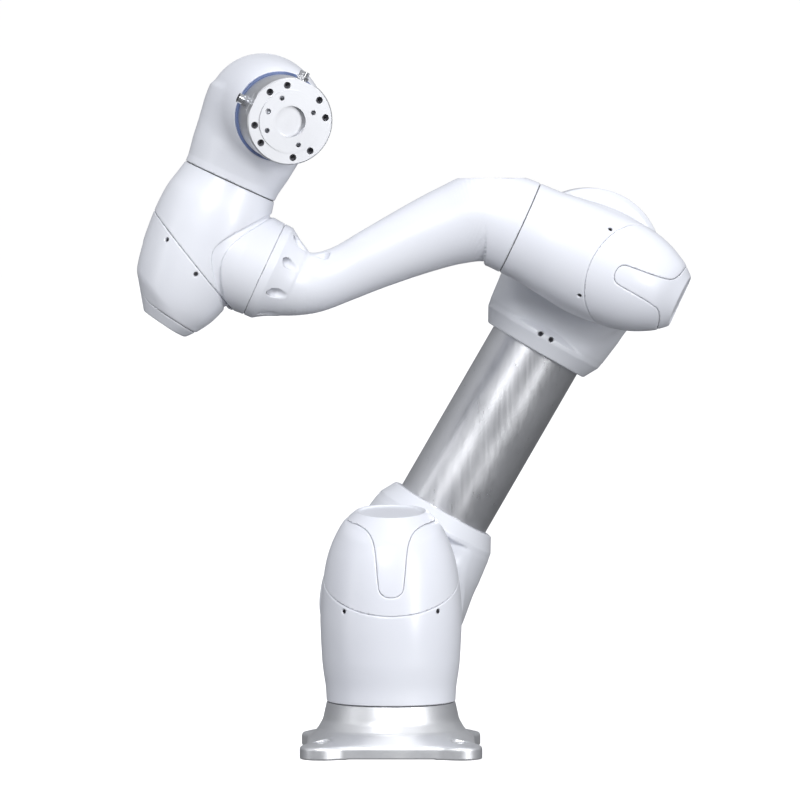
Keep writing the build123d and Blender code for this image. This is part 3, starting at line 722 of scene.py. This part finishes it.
def arm_end(name, f, hub_r):
    """Drum about the joint, collar round the tube, and its back cap."""
    drum = turned(f, Profile(mirror_closed(rounded(
        [(0, 0), (66, 0), (69, 0.8, 2), (74, 8, 6), (74, 98), (0, 98)]))))
    tube_f = Frame(f.o + ACROSS * 55.0, ACROSS, f.x)
    collar = turned(tube_f, Profile(mirror_closed(
        [(0, 10), (73.5, 10), (70.5, 60), (67.3, 85), (65.4, 93), (58, 98), (0, 98)])))
    band = turned(tube_f, Profile(mirror_closed(rounded(
        [(0, 78), (50, 78), (65.4, 89.5, 0.8), (65.3, 94, 2.5), (57.2, 108.8, 1.2), (54, 109), (0, 109)]))))
    bore = cylinder(tube_f, 50.15, 60, 130)
    room = cylinder(f, 45.0, 8, 99)
    mouth = cylinder(f, hub_r + 1.5, -4, 9)
    wells = []
    for quarter in range(4):
        for a in (90 * quarter - 5.5, 90 * quarter + 5.5):
            out = tube_f.x * cos(radians(a)) + tube_f.y * sin(radians(a))
            wells.append(Frame(tube_f.point(0, 0, 91) + out * 64.6, f.x, out))

    def outside(p):
        sides = np.abs((p - tube_f.o) @ ACROSS) - 55.0
        body = smin(drum(p), smax(collar(p), sides, 8.0), 16.0)
        return smin(body, band(p), 1.5)

    def field(p):
        made = smax(outside(p), -bore(p), 0.8)
        made = smax(made, -np.minimum(room(p), mouth(p)), 0.6)
        for w in wells:
            x, y, z = w.local(p)
            made = smax(made, -np.maximum(np.hypot(x, y) - 2.5, np.abs(z) - 7), 0.5)
        return smax(made, (p - f.o) @ ACROSS - 98.0 + 0.15, 0.8)

    h = 1.8
    lo, hi = joined(
        box_round(f, 0, 98, ((-76, 76), (-76, 76))), box_round(tube_f, 20, 110, ((-68, 68), (-68, 68)))
    )
    piece(
        f"{name}_arm_end_body", field, lo, hi, h, "upper_arm", [f"{name}_arm_end"],
        CASTING, "painted_casting",
    )
    lid = turned(f, Profile(mirror_closed(rounded(
        [(0, 98.15), (73.8, 98.15), (74, 99, 1), (71.5, 108, 5), (63, 114.5, 6), (54, 117, 1),
         (51, 115.6, 2),
         (46, 114.6, 1), (0, 114.6)]))))
    low = turned(f, Profile(mirror_closed([(0, 90), (64, 90), (64, 109), (0, 109)])))
    piece(
        f"{name}_back_cap", without(lid, low, 0.8), *joined(box_round(f, 96, 118, ((-76, 76), (-76, 76)))),
        h, "upper_arm", [f"{name}_arm_end_cap"], CASTING, "painted_casting",
    )


arm_end("lower", J2, 40.0)
arm_end("upper", J3, 38.0)

# Forearm link ----------------------------------------------------------------------------------
LINK_END = 368.0 - 69.0
STATIONS = np.array([
    (81.6, 0.0, 49.6), (100, 1.2, 48.6), (119, 5.5, 46.5), (143, 25.0, 41.0), (168, 51.0, 36.5),
    (200, 88.0, 31.5),
    (226, 119.0, 28.5), (249, 139.0, 31.0), (273, 146.5, 38.0), (LINK_END, 147.0, 43.5),
])


class Bent:
    """Distance from a plane curve and the bar's radius there, both in a table."""

    def __init__(self, stations, step=1.0):
        ends = [(40, stations[0][1], stations[0][2]), *stations, (LINK_END + 40, 147.0, 43.5)]
        pts = np.array(spline(ends, 10))
        self.lo = np.array([20.0, -90.0])
        self.step = step
        gx = self.lo[0] + np.arange(0, 340, step)
        gy = self.lo[1] + np.arange(0, 340, step)
        x, y = np.meshgrid(gx, gy, indexing="ij")
        far = np.full(x.shape, 1e9)
        radius = np.zeros(x.shape)
        for a, b in zip(pts, pts[1:]):
            e = b[:2] - a[:2]
            t = np.clip(((x - a[0]) * e[0] + (y - a[1]) * e[1]) / (e @ e), 0, 1)
            d = np.hypot(x - a[0] - t * e[0], y - a[1] - t * e[1])
            r = a[2] + (b[2] - a[2]) * t
            better = d < far
            far[better] = d[better]
            radius[better] = r[better]
        self.far, self.radius = far, radius

    def read(self, table, u, v):
        fu = np.clip((u - self.lo[0]) / self.step, 0, table.shape[0] - 1.001)
        fv = np.clip((v - self.lo[1]) / self.step, 0, table.shape[1] - 1.001)
        i, j = fu.astype(int), fv.astype(int)
        a, b = fu - i, fv - j
        return (
            table[i, j] * (1 - a) * (1 - b) + table[i + 1, j] * a * (1 - b)
            + table[i, j + 1] * (1 - a) * b + table[i + 1, j + 1] * a * b
        )

    def __call__(self, p):
        d = p - ELBOW
        u, v, w = d @ ALONG, d @ DOWN, d[:, 1]
        far = self.read(self.far, u, v)
        return np.hypot(far, w) - self.read(self.radius, u, v)


LINK_F = Frame(ELBOW + ALONG * LINK_END + DOWN * 147.0, ACROSS, ALONG)
bar = Bent([tuple(s) for s in STATIONS])
flare = turned(LINK_F, Profile(mirror_closed(rounded(
    [(0, -30), (36, -30), (50.2, -9, 1.2), (50.6, 0), (0, 0)]))))
pockets = []
for n in range(8):
    angle = radians(22.5 + 45 * n)
    pockets.append(Frame(LINK_F.point(42 * cos(angle), 42 * sin(angle), -6), ACROSS, ALONG))


def link_field(p):
    along = (p - ELBOW) @ ALONG
    solid = smin(bar(p), flare(p), 6.0)
    made = np.maximum(solid, -(solid + 5.0))
    made = np.maximum(made, along - LINK_END + 0.03)
    made = smax(made, 81.6 - along, 1.0)
    ends = np.minimum(along - 88.0, LINK_END - 6.0 - along)
    plate = np.maximum(solid, ends)
    made = np.minimum(made, plate)
    # solid lands for the screws, so that their pockets don't break into the hollow
    spots = []
    for q in pockets:
        x, y, z = q.local(p)
        d = np.hypot(x, y)
        spots.append((d, z))
        made = np.minimum(made, np.maximum(solid, np.maximum(d - 9.0, np.abs(z + 24) - 30)))
    made = smax(made, along - LINK_END + 0.03, 0.8)
    made = smax(made, 81.6 - along, 0.8)
    for d, z in spots:
        made = smax(made, -np.maximum(d - 4.7, np.abs(z + 24) - 24), 1.2)
        made = np.maximum(made, -np.maximum(d - 2.6, np.abs(z) - 12))
    return np.maximum(made, -hub_room(J4, 28.3)(p))


lo = np.min([ELBOW + ALONG * 80 + DOWN * d + ACROSS * s for d in (-52, 52) for s in (-52, 52)]
            + [ELBOW + ALONG * 300 + DOWN * d + ACROSS * s for d in (94, 200) for s in (-52, 52)]
            + [ELBOW + ALONG * 190 + DOWN * d for d in (20, 135)], 0) - 4
hi = np.max([ELBOW + ALONG * 80 + DOWN * d + ACROSS * s for d in (-52, 52) for s in (-52, 52)]
            + [ELBOW + ALONG * 300 + DOWN * d + ACROSS * s for d in (94, 200) for s in (-52, 52)], 0) + 4
piece(
    "forearm_link_body", link_field, lo, hi, 1.7, "forearm", ["forearm_link"],
    SHELL, "painted_casting",
)

# Base ------------------------------------------------------------------------------------------
NECK_TOP = 51.2
FLARE_R, FLARE_Z, EDGE_Z = 75.0, 24.0, 12.5
SPOT_FACE = 15.5
neck = turned(Frame((0, 0, 0), ACROSS, UP), Profile(mirror_closed([
    (0, -20), (FLARE_R, -20),
    *spline([(FLARE_R, FLARE_Z), (72.1, 29), (69.5, 34), (67.6, 42), (65.5, NECK_TOP)], 8), (0, NECK_TOP)])))


def base_field(p):
    x, y, z = np.abs(p[:, 0]), np.abs(p[:, 1]), p[:, 2]
    r = np.hypot(x, y)
    bolt_r = np.hypot(x - 70, y - 70)
    ex, ey = x - 63.5, y - 63.5
    square = np.minimum(np.maximum(ex, ey), 0) + np.hypot(np.maximum(ex, 0), np.maximum(ey, 0)) - 22.0
    shape = smin(square, bolt_r - 22.0, 6.0)
    out = r - FLARE_R
    share = np.clip(out / np.maximum(out - shape, 0.5), 0, 1)
    top = FLARE_Z - (FLARE_Z - EDGE_Z) * share
    plate = smax(shape, (z - top) * 0.93, 3.0)
    made = smin(plate, neck(p), 1.5)
    made = smax(made, -np.maximum(bolt_r - 9.2, SPOT_FACE - z), 0.8)
    made = smax(made, 4.6 - bolt_r, 0.8)
    made = smax(made, -z, 1.2)
    # cable space under the neck, and the relieved underside between the corner pads
    made = smax(made, -np.maximum(r - 54.0, z - 45.2), 0.8)
    made = smax(made, -np.maximum(np.minimum(x, y) - 44, z - 0.8), 0.5)
    made = np.maximum(made, 40.3 - r)
    mouth = np.maximum(np.hypot(p[:, 0], z - 27) - 11.2, -p[:, 1])
    return smax(made, -mouth, 0.8)


piece("base_casting_body", base_field, (-95, -95, -3), (95, 95, 54), 1.4, "base",
      ["base_casting"], BASE_METAL, "bare_aluminium")

SKY_LOW, SKY_HIGH, SKY_BACK = 0.19, 0.59, 0.62

# Stage -----------------------------------------------------------------------------------------


def stage_plane(name, size, place, rotation):
    mesh = bpy.data.meshes.new(name)
    s = size / 2
    mesh.from_pydata([(-s, -s, 0), (s, -s, 0), (s, s, 0), (-s, s, 0)], [], [(0, 1, 2, 3)])
    made = bpy.data.objects.new(name, mesh)
    made.location = place
    made.rotation_euler = rotation
    bpy.context.scene.collection.objects.link(made)
    return made


floor = stage_plane("floor", 50.0, (0, 0, -0.0005), (0, 0, 0))
pale = Nodes("pale_floor")
pale.shader.inputs["Base Color"].default_value = (0.9, 0.9, 0.91, 1)
pale.shader.inputs["Roughness"].default_value = 0.9
pale.shader.inputs["Emission Color"].default_value = (1, 1, 1, 1)
pale.shader.inputs["Emission Strength"].default_value = 0.72
floor.data.materials.append(pale.material)

# a pale shell all round, so that the floor has no horizon; it lights nothing
around = bpy.data.meshes.new("backdrop")
form = bmesh.new()
bmesh.ops.create_icosphere(form, subdivisions=4, radius=24.0)
form.to_mesh(around)
form.free()
backdrop = bpy.data.objects.new("backdrop", around)
bpy.context.scene.collection.objects.link(backdrop)
white = Nodes("pale_backdrop")
white.shader.inputs["Base Color"].default_value = (0, 0, 0, 1)
white.shader.inputs["Emission Color"].default_value = (1, 1, 1, 1)
white.shader.inputs["Emission Strength"].default_value = 1.0
around.materials.append(white.material)
for thing in (backdrop, floor):
    thing.visible_diffuse = False
    thing.visible_glossy = False
    thing.visible_transmission = False
    thing.visible_shadow = False

# studio sky: bright above and in front, dim below and behind
world = bpy.data.worlds.new("studio")
bpy.context.scene.world = world
world.use_nodes = True
sky = world.node_tree
where = sky.nodes.new("ShaderNodeTexCoord")
parts = sky.nodes.new("ShaderNodeSeparateXYZ")
sky.links.new(where.outputs["Generated"], parts.inputs[0])


def ramp(socket, low, high, out_low, out_high):
    node = sky.nodes.new("ShaderNodeMapRange")
    node.interpolation_type = "SMOOTHSTEP"
    for key, number in zip(("From Min", "From Max", "To Min", "To Max"), (low, high, out_low, out_high)):
        node.inputs[key].default_value = number
    sky.links.new(socket, node.inputs["Value"])
    return node.outputs["Result"]


above = ramp(parts.outputs["Z"], -0.45, 0.75, SKY_LOW, SKY_HIGH)
behind = ramp(parts.outputs["Y"], -0.1, 0.8, 1.0, SKY_BACK)
product = sky.nodes.new("ShaderNodeMath")
product.operation = "MULTIPLY"
sky.links.new(above, product.inputs[0])
sky.links.new(behind, product.inputs[1])
sky.nodes["Background"].inputs["Color"].default_value = (0.95, 0.965, 1.0, 1)
sky.links.new(product.outputs[0], sky.nodes["Background"].inputs["Strength"])


def lamp(name, place, target, size, power, colour=(1, 1, 1)):
    data = bpy.data.lights.new(name, "AREA")
    data.shape = "RECTANGLE"
    data.size, data.size_y = size
    data.energy = power
    data.color = colour
    made = bpy.data.objects.new(name, data)
    made.location = place
    made.rotation_euler = (Vector(target) - Vector(place)).to_track_quat("-Z", "Y").to_euler()
    made.visible_camera = False
    bpy.context.scene.collection.objects.link(made)
    return made


lamp("key_light", (-0.6, -2.6, 1.9), (0, 0, 0.4), (0.9, 0.9), 42)
lamp("right_light", (1.9, -2.3, 0.8), (0, 0, 0.4), (0.6, 1.8), 46)
lamp("left_light", (-2.5, -1.0, 0.6), (0, 0, 0.4), (0.5, 1.8), 6)
lamp("top_light", (0.2, 0.1, 2.6), (0, 0, 0.4), (1.6, 1.0), 13)

# Camera ----------------------------------------------------------------------------------------
camera = bpy.data.objects.new("camera", bpy.data.cameras.new("camera"))
bpy.context.scene.collection.objects.link(camera)
camera.location = (0, -5.8, 0.6)
aim = Vector((0.0091, 0, 0.3582)) - camera.location
camera.rotation_euler = aim.to_track_quat("-Z", "Y").to_euler()
camera.data.lens = 257.1
camera.data.sensor_width = 36.0
camera.data.clip_start, camera.data.clip_end = 0.1, 200
bpy.context.scene.camera = camera
bpy.context.scene.view_settings.view_transform = "Standard"
